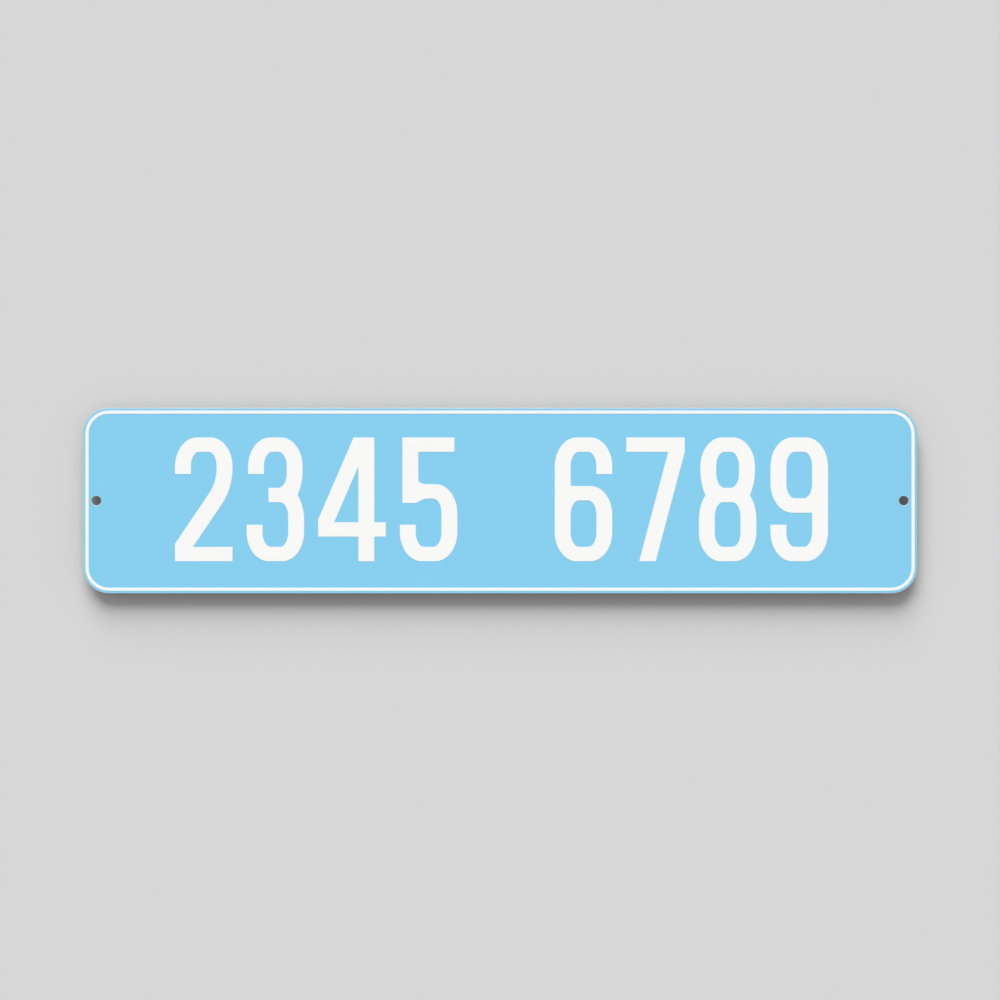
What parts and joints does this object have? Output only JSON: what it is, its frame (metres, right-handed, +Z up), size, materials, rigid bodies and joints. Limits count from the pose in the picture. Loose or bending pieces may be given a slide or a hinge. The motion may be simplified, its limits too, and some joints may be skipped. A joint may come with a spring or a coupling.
{
  "type": "street name sign",
  "caption": "Flat sheet aluminium street name sign with rounded corners, light blue film face, white border line and a screw hole near each end.",
  "frame": {"origin": "middle of the flat back face that lies against the wall", "axes": "+X to the reader's right along the sign, +Z up, +Y into the wall, so the printed face looks along -Y"},
  "size_m": [0.4572, 0.0012, 0.1016],
  "materials": {
    "aluminium_sheet": "mill finish with a fine rolling grain along the length",
    "blue_film": "smooth light blue sign film, soft gloss",
    "white_film": "smooth white sign film, soft gloss"
  },
  "bodies": {
    "root": {"aluminium_blank": "aluminium_sheet", "blue_face_film": "blue_film", "white_border_line": "white_film"}
  },
  "joints": []
}
